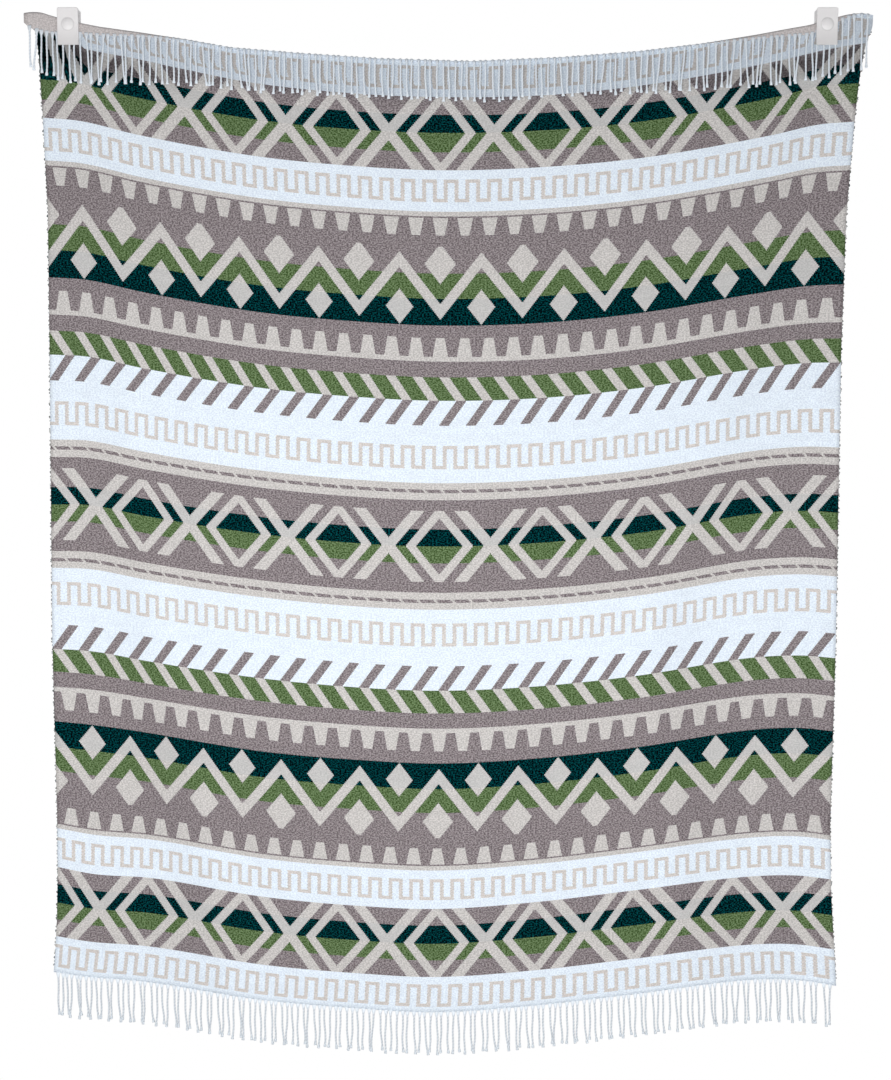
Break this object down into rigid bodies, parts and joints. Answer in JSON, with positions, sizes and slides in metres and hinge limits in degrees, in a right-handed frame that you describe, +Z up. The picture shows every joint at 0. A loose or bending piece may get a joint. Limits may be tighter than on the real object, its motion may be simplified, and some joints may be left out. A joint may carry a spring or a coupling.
{
  "type": "blanket hung from two wall clips",
  "caption": "Fringed woven blanket hung by its top corners from plain plastic wall clips, its top end turned forward, sagging between them in soft folds.",
  "frame": {"origin": "on the wall plane, midway between the two clips at about their mid-height", "axes": "+X to the viewer's right, +Y into the wall, +Z up; the blanket hangs on the -Y side of the wall"},
  "size_m": [1.2868, 0.0413, 1.6333],
  "materials": {
    "cloth": "woven, matt, in bands of taupe, beige, green, dark teal and white",
    "fringe_yarn": "twisted yarn, matt, cool white",
    "clip_plastic": "moulded, off-white, fine matt"
  },
  "bodies": {
    "root": {"blanket": "cloth", "top_fringe": "fringe_yarn", "bottom_fringe": "fringe_yarn", "left_clip_base": "clip_plastic", "left_clip_jaw": "clip_plastic", "right_clip_base": "clip_plastic", "right_clip_jaw": "clip_plastic"}
  },
  "joints": []
}
